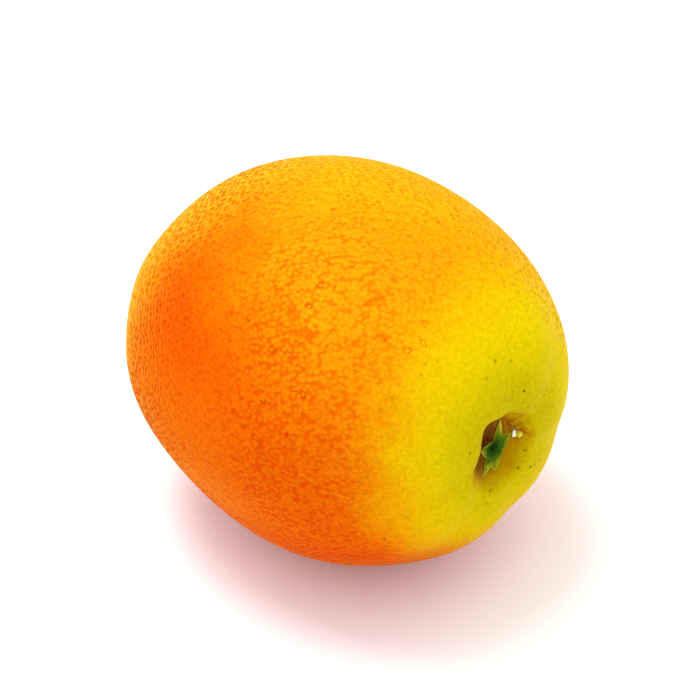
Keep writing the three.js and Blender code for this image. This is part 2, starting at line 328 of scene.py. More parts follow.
def fold_shares(points):
    """1 on a fold's line and 0 away from it."""
    shares = np.zeros(len(points))
    for start, end in FOLDS:
        start, end = (points[nearest(points, *place)] for place in (start, end))
        along = np.clip((points - start) @ (end - start) / np.sum((end - start) ** 2), 0, 1)
        away = np.linalg.norm(points - start - along[:, None] * (end - start), axis=1)
        shares = np.maximum(shares, np.exp(-((away / FOLD_WIDTH) ** 2)))
    return shares


def rind_piece():
    """The whole rind as one closed skin, with a pit or a dome over each gland, and marks and folds."""
    rng = np.random.default_rng(GLAND_SEED)
    directions, triangles, owners = gland_skin(gland_directions(rng))
    directions = crowded(directions)
    places = ovoid_places(directions)
    relief = pebbled_shares(places)
    even = rind_points(directions, 0 * relief)
    glands = even[:GLANDS]
    sunk = rng.uniform(*GLAND_DEPTHS, GLANDS)
    swollen = marks(SWOLLEN_GLANDS, glands)

    often, strongest = FAINT_FRECKLES
    faint = np.where(rng.random(GLANDS) < often, strongest * rng.random(GLANDS), 0)
    freckled = np.maximum(marks(RED_FRECKLES, glands), faint * relief[:GLANDS])
    often, strongest = FAINT_SPECKS
    few = (rng.random(GLANDS) < often) & (glands[:, 0] > SPECKS_FROM_X)
    faint = np.where(few, strongest * rng.random(GLANDS), 0)
    speckled = np.maximum(marks(DARK_SPECKS, glands), faint * (1 - relief[:GLANDS]))

    deeper = sunk - USUAL_DEPTH
    stemward = glands @ STEMWARD + CHEEK_SHIFT * smoothstep(glands @ SUNWARD, *CHEEK)
    stemward -= DEEP_STAY_PITTED * deeper
    behind = smoothstep(glands @ BACKWARD + DEEP_BACK_PITTED * deeper, *BACK_PITTED)
    pitted = np.maximum(smoothstep(stemward, *PITTED), behind)
    standing = DOME_SHARE * smoothstep(stemward, *DOMED) * (1 - behind) - pitted
    fold = fold_shares(even)
    rises = -FOLD_DEPTH * fold
    rises[:GLANDS] += np.where(swollen > 0, SWOLLEN_HEIGHT * swollen, PIT_OVER_GLAND * sunk * standing)
    points = rind_points(directions, rises)

    stem_pit = np.exp(-(shares_of_pit_radius(places) ** PIT_STEEPNESS)) * (directions[:, 0] > 0)
    attributes = {
        "gland": ("FACE", points[owners]),  # the middle of the gland that a face is on, in mm
        "sunk": ("FACE", np.where(swollen > 0, 0, sunk)[owners]),
        "swollen": ("FACE", swollen[owners]),
        "freckled": ("FACE", freckled[owners]),
        "speckled": ("FACE", speckled[owners]),
        "relief": ("POINT", relief),
        "fold": ("POINT", fold),
        "pit": ("POINT", stem_pit),
    }
    return mesh_object("rind", points, triangles, attributes)


# The calyx: a shallow cup with five sepals.
CALYX_SEAT_X = PIT_FLOOR_X + 0.4
CUP_RADIUS = 2.5
CUP_HEIGHT = 1.9
CUP_HOLLOW = 0.5
CUP_HOLLOW_REACH = (0.2, 1.9)  # the hollow in the cup rises to its rim between these radii
SEPALS_BEGIN = (1.2, 2.4)  # and the sepals grow out of the cup between these
STALK_RADIUS = 1.0
STALK_LENGTH = 0.6
STALK_FLARE = 0.7
SEPAL_THICKNESS = 0.5
SEPAL_TAPER = 1.9  # exponent of the taper: 1 is a straight point, more is fuller
EDGE_ROLL = 0.6  # how far the edges roll up over the keel
FLAT_KEEL = 0.4  # the share of the half width that stays below the cup's height
LIFTED_RIM = 0.12
SEPALS = (  # bearing in degrees, reach, width and the lift of the tip
    (81, 6.9, 2.9, 0.4),
    (152, 5.4, 4.2, 1.0),
    (226, 5.9, 3.6, 1.2),
    (269, 5.4, 4.0, 0.8),
    (18, 4.6, 4.6, 0.3),
)
CALYX_BEARINGS = 288
CALYX_RINGS = 22

# The drop of sap, on the side of the pit.
SAP_BEARING = math.radians(4.5)
SAP_FROM_AXIS = 6.2
SAP_LIES_ALONG = (0.7, 0.7, 0)
SAP_MIDDLE = (0, 0, 0.3)  # along the drop, across it and over the rind
SAP_LOBES = (  # the middle of each lobe in the same way, with its half sizes
    ((0.45, 0, 0.4), (0.72, 0.72, 0.7)),
    ((-0.6, 0.05, 0.4), (0.36, 0.82, 0.8)),
)
SAP_NECK_SHARPNESS = 10  # of the waist between the lobes


def sepal_reaches(bearings, sepal):
    """How far a sepal reaches at bearings from the calyx's middle."""
    bearing, reach, width, _ = sepal
    off = bearings - math.radians(bearing)
    near, far = np.zeros(len(bearings)), np.full(len(bearings), float(reach))
    for _ in range(24):  # each try halves what is left between near and far
        tried = (near + far) / 2
        along = tried * np.cos(off) / reach
        half = 0.5 * width * (1 - np.clip(along, 0, 1) ** SEPAL_TAPER)
        inside = (np.abs(tried * np.sin(off)) < half) & (along > 0)
        near, far = np.where(inside, tried, near), np.where(inside, far, tried)
    return near


def calyx_piece():
    """A closed skin: rings of points out over the top to the edge, and back under it to the stalk."""
    bearings = np.linspace(0, 2 * math.pi, CALYX_BEARINGS, endpoint=False)
    reaches = np.array([sepal_reaches(bearings, sepal) for sepal in SEPALS])
    nearest_sepal = reaches.argmax(axis=0)
    edge = np.maximum(reaches.max(axis=0), CUP_RADIUS)
    axes, lengths, widths, lifts = np.array(SEPALS).T
    off = bearings - np.radians(axes[nearest_sepal])
    shares = np.linspace(0, 1, CALYX_RINGS) ** 0.8  # the rings lie closer together towards the edge
    radii = shares[:, None] * edge
    out = radii / lengths[nearest_sepal]
    cup = CUP_HEIGHT - CUP_HOLLOW * (1 - smoothstep(radii, *CUP_HOLLOW_REACH))
    aside = np.clip(np.abs(radii * np.sin(off)) / (0.5 * widths[nearest_sepal]), 0, 1)
    on_sepal = smoothstep(radii, *SEPALS_BEGIN)
    rolled = EDGE_ROLL * on_sepal * (aside - FLAT_KEEL)
    lifted = lifts[nearest_sepal] * out**2 * on_sepal
    top = cup + lifted + rolled + LIFTED_RIM * shares[:, None] ** 8
    thickness = SEPAL_THICKNESS * (1 - shares[:, None] ** 6)
    under = top - thickness
    stalk = 1 - smoothstep(radii, STALK_RADIUS, STALK_RADIUS + STALK_FLARE)
    under = under + stalk * (-STALK_LENGTH - under)

    points, out_shares, edge_shares, keel_shares = [], [], [], []
    for heights, rings in ((top, range(1, CALYX_RINGS)), (under, range(CALYX_RINGS - 2, 0, -1))):
        for ring in rings:
            across = radii[ring]
            places = [heights[ring], across * np.cos(bearings), across * np.sin(bearings)]
            points.append(np.column_stack(places))
            out_shares.append(across / lengths.max())
            edge_shares.append(np.full(CALYX_BEARINGS, shares[ring]))
            keel_shares.append((1 - aside[ring]) * on_sepal[ring])
    rings = len(points)
    poles = [[top[0, 0], 0, 0], [-STALK_LENGTH, 0, 0]]
    points = np.concatenate(points + [poles]) + [CALYX_SEAT_X, 0, AXIS_HEIGHT]
    above = (CALYX_RINGS - 1) * CALYX_BEARINGS
    below = np.repeat([0.0, 1.0, 0.0, 1.0], [above, rings * CALYX_BEARINGS - above, 1, 1])

    top_pole, under_pole = rings * CALYX_BEARINGS, rings * CALYX_BEARINGS + 1
    numbers = np.arange(CALYX_BEARINGS)
    after = (numbers + 1) % CALYX_BEARINGS
    faces = [(top_pole, a, b) for a, b in zip(numbers, after)]
    for ring in range(rings - 1):
        first, second = ring * CALYX_BEARINGS, (ring + 1) * CALYX_BEARINGS
        faces += [(first + a, second + a, second + b, first + b) for a, b in zip(numbers, after)]
    last = (rings - 1) * CALYX_BEARINGS
    faces += [(last + a, under_pole, last + b) for a, b in zip(numbers, after)]
    attributes = {
        "below": ("POINT", below),
        "out": ("POINT", np.concatenate(out_shares + [[0, 0]])),
        "edge": ("POINT", np.concatenate(edge_shares + [[0, 0]])),
        "keel": ("POINT", np.concatenate(keel_shares + [[0, 0]])),
    }
    return mesh_object("calyx_fine", points, faces, attributes)


def rind_seat(y, z):
    """The rind's place at y and z from the stem axis on its stem side, and the way that it faces."""
    steps = np.array([(0, 0), (0.5, 0), (-0.5, 0), (0, 0.5), (0, -0.5)])
    towards = unit(np.column_stack([np.full(5, STEM_LENGTH), y + steps[:, 0], z + steps[:, 1]]))
    here, east, west, north, south = rind_points(towards, np.zeros(5))
    normal = np.cross(east - west, north - south)
    return here, normal / np.linalg.norm(normal)


def sap_piece():
    """A drop with its foot in the rind, and a smaller lobe at one end, which is painted white as a highlight.
    """
    seat, normal = rind_seat(SAP_FROM_AXIS * math.cos(SAP_BEARING), SAP_FROM_AXIS * math.sin(SAP_BEARING))
    along = np.cross(np.cross(normal, SAP_LIES_ALONG), normal)
    along /= np.linalg.norm(along)
    beside = np.cross(normal, along)
    drop = bmesh.new()
    bmesh.ops.create_icosphere(drop, subdivisions=5, radius=1)
    directions = np.array([v.co for v in drop.verts])
    faces = [[v.index for v in f.verts] for f in drop.faces]
    drop.free()
    start = np.array(SAP_MIDDLE)
    reaches = []
    for middle_of_lobe, half_sizes in SAP_LOBES:
        ray = directions / half_sizes
        offset = (start - middle_of_lobe) / half_sizes
        a, b, c = (ray**2).sum(axis=1), ray @ offset, offset @ offset - 1
        reaches.append((-b + np.sqrt(np.maximum(b * b - a * c, 0))) / a)
    reaches = np.maximum(np.array(reaches), 0.05)
    reach = (reaches**SAP_NECK_SHARPNESS).sum(axis=0) ** (1 / SAP_NECK_SHARPNESS)
    # The smaller lobe carries a painted white highlight; its share is kept in the attribute named dried.
    painted_highlight_lobe = smoothstep(reaches[1] - reaches[0], -0.05, 0.15)
    points = seat + (start + directions * reach[:, None]) @ np.array([along, beside, normal])
    return mesh_object("sap_drop", points, faces, {"dried": ("POINT", painted_highlight_lobe)})


# ---- Materials ----

# The rind's colours: ripe orange, the amber cheek that grew in the sun and is lightened with painted light on
# its upper side, and the yellow and olive stem end, with painted shade low down and in the stem pit.
DEEP_ORANGE = "#DE6803"
DEEPEST_ORANGE = "#DE5602"
# deeper orange of the side that grew in shade, and painted shade of the lower side
UNDERSIDE = "#D85E03"
LOWEST_PAINTED_SHADE = "#D42C02"
# amber of the sunny cheek, lightened with painted light on the upper side
AMBER = "#E89C09"
# paler blossom end, partly painted light for the bright rim that its wax shows
PALE_END_AND_RIM_LIGHT = "#E4B01C"
BACK_GOLD = "#ECB60C"
YELLOW = "#DEC802"
OLIVE = "#BCAB05"
CORK_TINT = "#EABC78"
# brown of the stem pit, partly stained tissue and partly painted shade deep in the pit
PIT_BROWN_AND_SHADE = "#A6722A"
RUSSET = "#9C4C06"
FINE_GRAIN_TINT = "#EAE6A8"
# the glands' own deeper orange, with painted shade in their pits and valleys
PIT_TINT = "#F6BC74"  # over the glands, where the rind is ripe
UNRIPE_PIT_TINT = "#F8F2C8"
BACK_PIT_TINT = "#E6BE6E"
FRECKLE = "#CE2C04"
DARK_SPECK = "#523808"
WAX_SHEEN = "#FFD830"

# Where each colour begins and is full, in mm.
# along SUNWARD: the amber cheek, partly painted light on the upper side
SUNNY_AND_LIT = (20, 55)  # along SUNWARD
# along SUNWARD: where the painted shade of the lower side begins and is full
SHADED = (28, 4)
SHADED_STEM_END = (12, 28)  # along STEMWARD
UNRIPE = (30.5, 47)
RIPER_TOP = (38, 58)  # over the floor
RIPER_TOP_BY = -1.3  # up there the unripe stem end begins this much later
# over the floor: painted shade where the rind comes down near the floor
LOWEST = (27, 14)
# Paler towards the blossom end: partly its own colour, partly painted rim light.
PALEWARD = (-0.93, 0.3, 0.2)  # towards the blossom end, from the middle
PALING = (19, 38)  # along PALEWARD
GOLDEN_BACK = (-8, 8)  # along STEMWARD
GREENING = (26, 9)  # from the stem axis
CORKY = (10, 4)
RUSSETED = (9.5, 6)
TOPWARD = (0, 0.5, 0.87)  # towards the upper side of the stem pit
GREENED_TOP = (30, 42)  # along TOPWARD
RUSSETED_TOP = (34, 38)
# The brown in the stem pit is partly a stain and partly painted shade, towards -Y.
STAIN_AND_SHADE_REACH = (9, 5)  # from the middle of the stain
STAIN_AND_SHADE_MIDDLE = (0, -3, AXIS_HEIGHT + 2)
DEEPEST_MIDDLE = (-9, -33, 58)
DEEPEST_REACH = 20
SUN_PATCHES = (  # the middle, the reach, and how many mm nearer to the sun's side the colour is there
    ((15, -20, 70), 11, 7),
    ((-9, -18, 72), 14, -8),
    ((-19, -25, 62), 15, -7),
)
YELLOWER_PATCH = ((29, -30, 33), 14, 3)  # and here nearer to the stem's
UNRIPE_CHEEK = 2  # on the cheek the unripe stem end reaches this much further
PALE_SHARE = 0.8
GOLDEN_SHARE = 0.5
LOWER_SIDE_GREEN = 0.85  # how olive the stem end is on its lower side
RUSSET_SHARE = 0.9

# Where the relief gets stronger or weaker, in mm along STEMWARD, and how strong it is there.
WAIST = (4, 14)
WAIST_STRENGTHS = (0.7, 1.1)
BLOSSOM_SIDE = (-4, -24)
BLOSSOM_SIDE_STRENGTH = 1.2
CHEEK_STRENGTH = 0.5
BACK_STRENGTH = 0.48
BLOSSOM_END = (-22, -38)
BLOSSOM_END_STRENGTH = 0.3
FAINTER_ON_UPPER_SIDE = (41, 66)  # along SUNWARD: the glands' tint, which is partly painted shade, is fainter on the upper side where the light falls
FAINTEST_TINT = 0.45

# Depths and heights on the rind's material, as shares of twice PIT_OVER_GLAND, and how much of the glands'
# tint, with its painted shade, darkens a fold.
DEEPEST_PIT = 0.75
VALLEY_SHARE = 0.5  # of a pit's depth
KNOB_HEIGHT = 0.9
FOLD_TINT = 0.8

# How open the valleys between domes are where the ripple is lowest, how much more where it is highest, and
# how much of the ripple shows on the domes themselves.
CLOSED_VALLEY = 0.36
OPEN_VALLEY = 0.8
RIPPLE_ON_DOMES = 0.15

# The places of edges across a gland or a mark, in radii of a gland: where it begins and where it is full.
PIT_EDGE = (0.98, 0.15)
DOME_EDGE = (1.0, 0.15)
FRECKLE_EDGE = (1.1, 0.3)
SPECK_EDGE = (0.6, 0.2)
KNOB_EDGE = (0.85, 0.3)
GROOVE_EDGE = (0.4, 0.9)

# Sizes of the patterns, in mm.
ZONE_MOTTLE = 7.143  # six glands wide
RUSSET_PATCH = 1.429
FINE_GRAIN = 0.909  # the skin's own grain, of about 0.2 mm, is too fine to show, so it is drawn coarser
GLAND_WANDER = 1.25  # one gland wide, as the ripple is
RIDGE_RIPPLE = 1.282
MOTTLE_REACH = 16  # how far the mottle moves the sunny side's border, from one side to the other
MOTTLE_SHARE = 0.3  # and how much of that the other borders move
GLAND_WANDER_REACH = 0.8  # how far the outline of a gland strays, from one side to the other
GRAIN_HEADING = math.radians(46)  # the ridges between glands run on furthest along this heading
GRAIN_STRETCH = 1.4
DOME_STRETCH = 1.15  # and single domes are longer along it by this much
DOME_WANDER = 0.6  # domes wander by this share of what pits do
PIT_NARROWNESS = 0.75  # a pit's width as a share of its length, which lies along the stem axis


def linear(colour):
    """The linear RGBA of an sRGB hex value."""
    shares = [int(colour[i : i + 2], 16) / 255 for i in (1, 3, 5)]
    return (*[s / 12.92 if s <= 0.04045 else ((s + 0.055) / 1.055) ** 2.4 for s in shares], 1)


def add(tree, kind, sockets=None, output=0, stops=(), **settings):
    """Adds a node and returns one of its outputs.

    A socket is given a value, an sRGB hex value, or another node's output to link from, and a tuple of
    sockets is given a tuple of these. Stops are a colour ramp's places with their hex colours.
    """
    node = tree.nodes.new("ShaderNode" + kind)
    for name, value in settings.items():
        setattr(node, name, value)
    given = {}
    for name, value in (sockets or {}).items():
        given.update(zip(name, value) if isinstance(name, tuple) else {name: value})
    for name, value in given.items():
        if isinstance(value, bpy.types.NodeSocket):
            tree.links.new(value, node.inputs[name])
        else:
            node.inputs[name].default_value = linear(value) if isinstance(value, str) else value
    for number, (place, colour) in enumerate(stops):
        ramp = node.color_ramp.elements
        stop = ramp[number] if number < 2 else ramp.new(place)
        stop.position = place
        stop.color = linear(colour)
    return node.outputs[output] if node.outputs else None


def new_material(name):
    material = bpy.data.materials.new(name)
    material.use_nodes = True
    material.node_tree.nodes.clear()
    return material, material.node_tree


FROM = ("From Min", "From Max")
TO = ("To Min", "To Max")
SMOOTH = {"interpolation_type": "SMOOTHSTEP"}


def zones_of_rind(tree, place):
    """Where a place lies between stem and blossom end, between sun and shade, and between front and back.

    A mottle of ZONE_MOTTLE mm moves the borders, so that no zone has an even edge.
    """
    sway = {"Vector": place, "Scale": 1 / ZONE_MOTTLE, "Detail": 4, "Roughness": 0.6}
    sway = add(tree, "TexNoise", sway, "Fac")
    sway = add(tree, "Math", {0: sway, 1: MOTTLE_REACH, 2: -MOTTLE_REACH / 2}, operation="MULTIPLY_ADD")
    across = add(tree, "VectorMath", {0: place, 1: (0, 1, 1)}, operation="MULTIPLY")
    axis = (0, 0, AXIS_HEIGHT)
    from_axis = add(tree, "VectorMath", {0: across, 1: axis}, "Value", operation="DISTANCE")
    height = add(tree, "SeparateXYZ", {"Vector": place}, "Z")

    sunward = add(tree, "VectorMath", {0: place, 1: SUNWARD}, "Value", operation="DOT_PRODUCT")
    sunward = add(tree, "Math", {0: sunward, 1: sway}, operation="ADD")
    for middle_of_patch, reach, nearer in SUN_PATCHES:
        patch = add(tree, "VectorMath", {0: place, 1: middle_of_patch}, "Value", operation="DISTANCE")
        patch = add(tree, "MapRange", {"Value": patch, FROM: (reach, 0), "To Max": nearer}, **SMOOTH)
        sunward = add(tree, "Math", {0: sunward, 1: patch}, operation="ADD")
    stemward = add(tree, "VectorMath", {0: place, 1: STEMWARD}, "Value", operation="DOT_PRODUCT")
    stemward = add(tree, "Math", {0: sway, 1: MOTTLE_SHARE, 2: stemward}, operation="MULTIPLY_ADD")
    cheek = add(tree, "MapRange", {"Value": sunward, FROM: CHEEK}, **SMOOTH)

    unripe = add(tree, "Math", {0: cheek, 1: UNRIPE_CHEEK, 2: stemward}, operation="MULTIPLY_ADD")
    middle_of_patch, reach, nearer = YELLOWER_PATCH
    yellower = add(tree, "VectorMath", {0: place, 1: middle_of_patch}, "Value", operation="DISTANCE")
    yellower = add(tree, "MapRange", {"Value": yellower, FROM: (reach, 0), "To Max": nearer}, **SMOOTH)
    unripe = add(tree, "Math", {0: unripe, 1: yellower}, operation="ADD")
    riper = add(tree, "MapRange", {"Value": height, FROM: RIPER_TOP, "To Max": RIPER_TOP_BY}, **SMOOTH)
    unripe = add(tree, "Math", {0: unripe, 1: riper}, operation="ADD")
    unripe = add(tree, "MapRange", {"Value": unripe, FROM: UNRIPE}, **SMOOTH)

    backward = add(tree, "VectorMath", {0: place, 1: BACKWARD}, "Value", operation="DOT_PRODUCT")
    behind = add(tree, "MapRange", {"Value": backward, FROM: BACK_PITTED}, **SMOOTH)
    topward = add(tree, "VectorMath", {0: place, 1: TOPWARD}, "Value", operation="DOT_PRODUCT")
    return SimpleNamespace(
        sway=sway,
        across=across,
        from_axis=from_axis,
        height=height,
        sunward=sunward,
        stemward=stemward,
        cheek=cheek,
        unripe=unripe,
        backward=backward,
        behind=behind,
        topward=topward,
    )


def ripening_colours(tree, place, zones):
    """Deep orange, with painted shade on the lower side and near the floor, through amber on the cheek,
    partly painted light on the upper side, to yellow and olive at the stem; the paler blossom end is partly
    painted rim light.
    """
    deepest = add(tree, "VectorMath", {0: place, 1: DEEPEST_MIDDLE}, "Value", operation="DISTANCE")
    deepest = add(tree, "MapRange", {"Value": deepest, FROM: (DEEPEST_REACH, 0)}, **SMOOTH)
    colour = add(tree, "MixRGB", {"Fac": deepest, "Color1": DEEP_ORANGE, "Color2": DEEPEST_ORANGE})

    # Painted shade, with a deeper orange, on the lower side.
    shaded = add(tree, "MapRange", {"Value": zones.sunward, FROM: SHADED}, **SMOOTH)
    stem_end = add(tree, "MapRange", {"Value": zones.stemward, FROM: SHADED_STEM_END}, **SMOOTH)
    shaded = add(tree, "Math", {0: shaded, 1: stem_end}, operation="MULTIPLY")
    colour = add(tree, "MixRGB", {"Fac": shaded, "Color1": colour, "Color2": UNDERSIDE})
    # Painted shade nearest the floor.
    lowest = add(tree, "MapRange", {"Value": zones.height, FROM: LOWEST}, **SMOOTH)
    colour = add(tree, "MixRGB", {"Fac": lowest, "Color1": colour, "Color2": LOWEST_PAINTED_SHADE})

    # The amber cheek, partly painted light on the upper side.
    sunny_and_lit = add(tree, "MapRange", {"Value": zones.sunward, FROM: SUNNY_AND_LIT}, **SMOOTH)
    colour = add(tree, "MixRGB", {"Fac": sunny_and_lit, "Color1": colour, "Color2": AMBER})
    # Paler towards the blossom end, partly painted rim light.
    pale = add(tree, "VectorMath", {0: place, 1: PALEWARD}, "Value", operation="DOT_PRODUCT")
    pale = add(tree, "Math", {0: zones.sway, 1: MOTTLE_SHARE, 2: pale}, operation="MULTIPLY_ADD")
    pale = add(tree, "MapRange", {"Value": pale, FROM: PALING, "To Max": PALE_SHARE}, **SMOOTH)
    colour = add(tree, "MixRGB", {"Fac": pale, "Color1": colour, "Color2": PALE_END_AND_RIM_LIGHT})
    golden = {"Value": zones.stemward, FROM: GOLDEN_BACK, "To Max": GOLDEN_SHARE}
    golden = add(tree, "MapRange", golden, **SMOOTH)
    golden = add(tree, "Math", {0: zones.behind, 1: golden}, operation="MULTIPLY")
    colour = add(tree, "MixRGB", {"Fac": golden, "Color1": colour, "Color2": BACK_GOLD})
    colour = add(tree, "MixRGB", {"Fac": zones.unripe, "Color1": colour, "Color2": YELLOW})

    wandering = {0: zones.sway, 1: -MOTTLE_SHARE, 2: zones.from_axis}
    wandering = add(tree, "Math", wandering, operation="MULTIPLY_ADD")
    green = add(tree, "MapRange", {"Value": wandering, FROM: GREENING}, **SMOOTH)
    green = add(tree, "Math", {0: green, 1: zones.unripe}, operation="MULTIPLY")
    greened_top = {"Value": zones.topward, FROM: GREENED_TOP, "To Min": LOWER_SIDE_GREEN}
    greened_top = add(tree, "MapRange", greened_top, **SMOOTH)
    green = add(tree, "Math", {0: green, 1: greened_top}, operation="MULTIPLY")
    colour = add(tree, "MixRGB", {"Fac": green, "Color1": colour, "Color2": OLIVE})
    corky = add(tree, "MapRange", {"Value": wandering, FROM: CORKY}, **SMOOTH)
    corky = add(tree, "Math", {0: corky, 1: zones.unripe}, operation="MULTIPLY")
    return add(tree, "MixRGB", {"Fac": corky, "Color1": colour, "Color2": CORK_TINT}, blend_type="MULTIPLY")


def stem_pit_stains_and_shade(tree, place, zones, colour):
    """A brown stain in the stem pit, partly painted shade deep in the pit, russet patches on its upper side,
    and a fine grain on all the rind.
    """
    pit = add(tree, "Attribute", {}, "Fac", attribute_name="pit")
    # Brown stain and painted shade deep in the stem pit.
    stain_and_shade = add(tree, "VectorMath", {0: zones.across, 1: STAIN_AND_SHADE_MIDDLE}, "Value", operation="DISTANCE")
    stain_and_shade = add(tree, "MapRange", {"Value": stain_and_shade, FROM: STAIN_AND_SHADE_REACH}, **SMOOTH)
    stain_and_shade = add(tree, "Math", {0: stain_and_shade, 1: pit}, operation="MULTIPLY")
    colour = add(tree, "MixRGB", {"Fac": stain_and_shade, "Color1": colour, "Color2": PIT_BROWN_AND_SHADE})

    russet = add(tree, "MapRange", {"Value": zones.from_axis, FROM: RUSSETED}, **SMOOTH)
    upper_side = add(tree, "MapRange", {"Value": zones.topward, FROM: RUSSETED_TOP}, **SMOOTH)
    patches = {"Vector": place, "Scale": 1 / RUSSET_PATCH, "Detail": 3, "Roughness": 0.6}
    patches = add(tree, "TexNoise", patches, "Fac")
    patches = add(tree, "MapRange", {"Value": patches, FROM: (0.4, 0.6), "To Max": RUSSET_SHARE}, **SMOOTH)
    for share in (upper_side, patches, zones.unripe):
        russet = add(tree, "Math", {0: russet, 1: share}, operation="MULTIPLY")
    colour = add(tree, "MixRGB", {"Fac": russet, "Color1": colour, "Color2": RUSSET})

    fine = {"Vector": place, "Scale": 1 / FINE_GRAIN, "Detail": 4, "Roughness": 0.75}
    fine = add(tree, "TexNoise", fine, "Fac")
    fine = add(tree, "MapRange", {"Value": fine, FROM: (0.35, 0.65)})
    tinted = {"Fac": fine, "Color1": colour, "Color2": FINE_GRAIN_TINT}
    return add(tree, "MixRGB", tinted, blend_type="MULTIPLY")


def strength_of_relief(tree, zones):
    """How strong pits and domes are: most on the blossom side, and not at all where the mesh is even."""
    waist = add(tree, "MapRange", {"Value": zones.stemward, FROM: WAIST, TO: WAIST_STRENGTHS}, **SMOOTH)
    strength = {"Value": zones.stemward, FROM: BLOSSOM_SIDE, "To Max": BLOSSOM_SIDE_STRENGTH}
    strength = add(tree, "MapRange", strength, **SMOOTH)
    on_cheek = add(tree, "Math", {0: zones.cheek, 1: CHEEK_STRENGTH, 2: 1}, operation="MULTIPLY_ADD")
    strength = add(tree, "Math", {0: strength, 1: on_cheek}, operation="MULTIPLY")
    strength = add(tree, "Math", {0: strength, 1: waist}, operation="ADD")
    strength = add(tree, "Math", {0: zones.behind, 1: BACK_STRENGTH, 2: strength}, operation="MULTIPLY_ADD")
    at_end = {"Value": zones.stemward, FROM: BLOSSOM_END, TO: (1, BLOSSOM_END_STRENGTH)}
    at_end = add(tree, "MapRange", at_end, **SMOOTH)
    strength = add(tree, "Math", {0: strength, 1: at_end}, operation="MULTIPLY")
    relief = add(tree, "Attribute", {}, "Fac", attribute_name="relief")
    return add(tree, "Math", {0: relief, 1: strength}, operation="MULTIPLY")


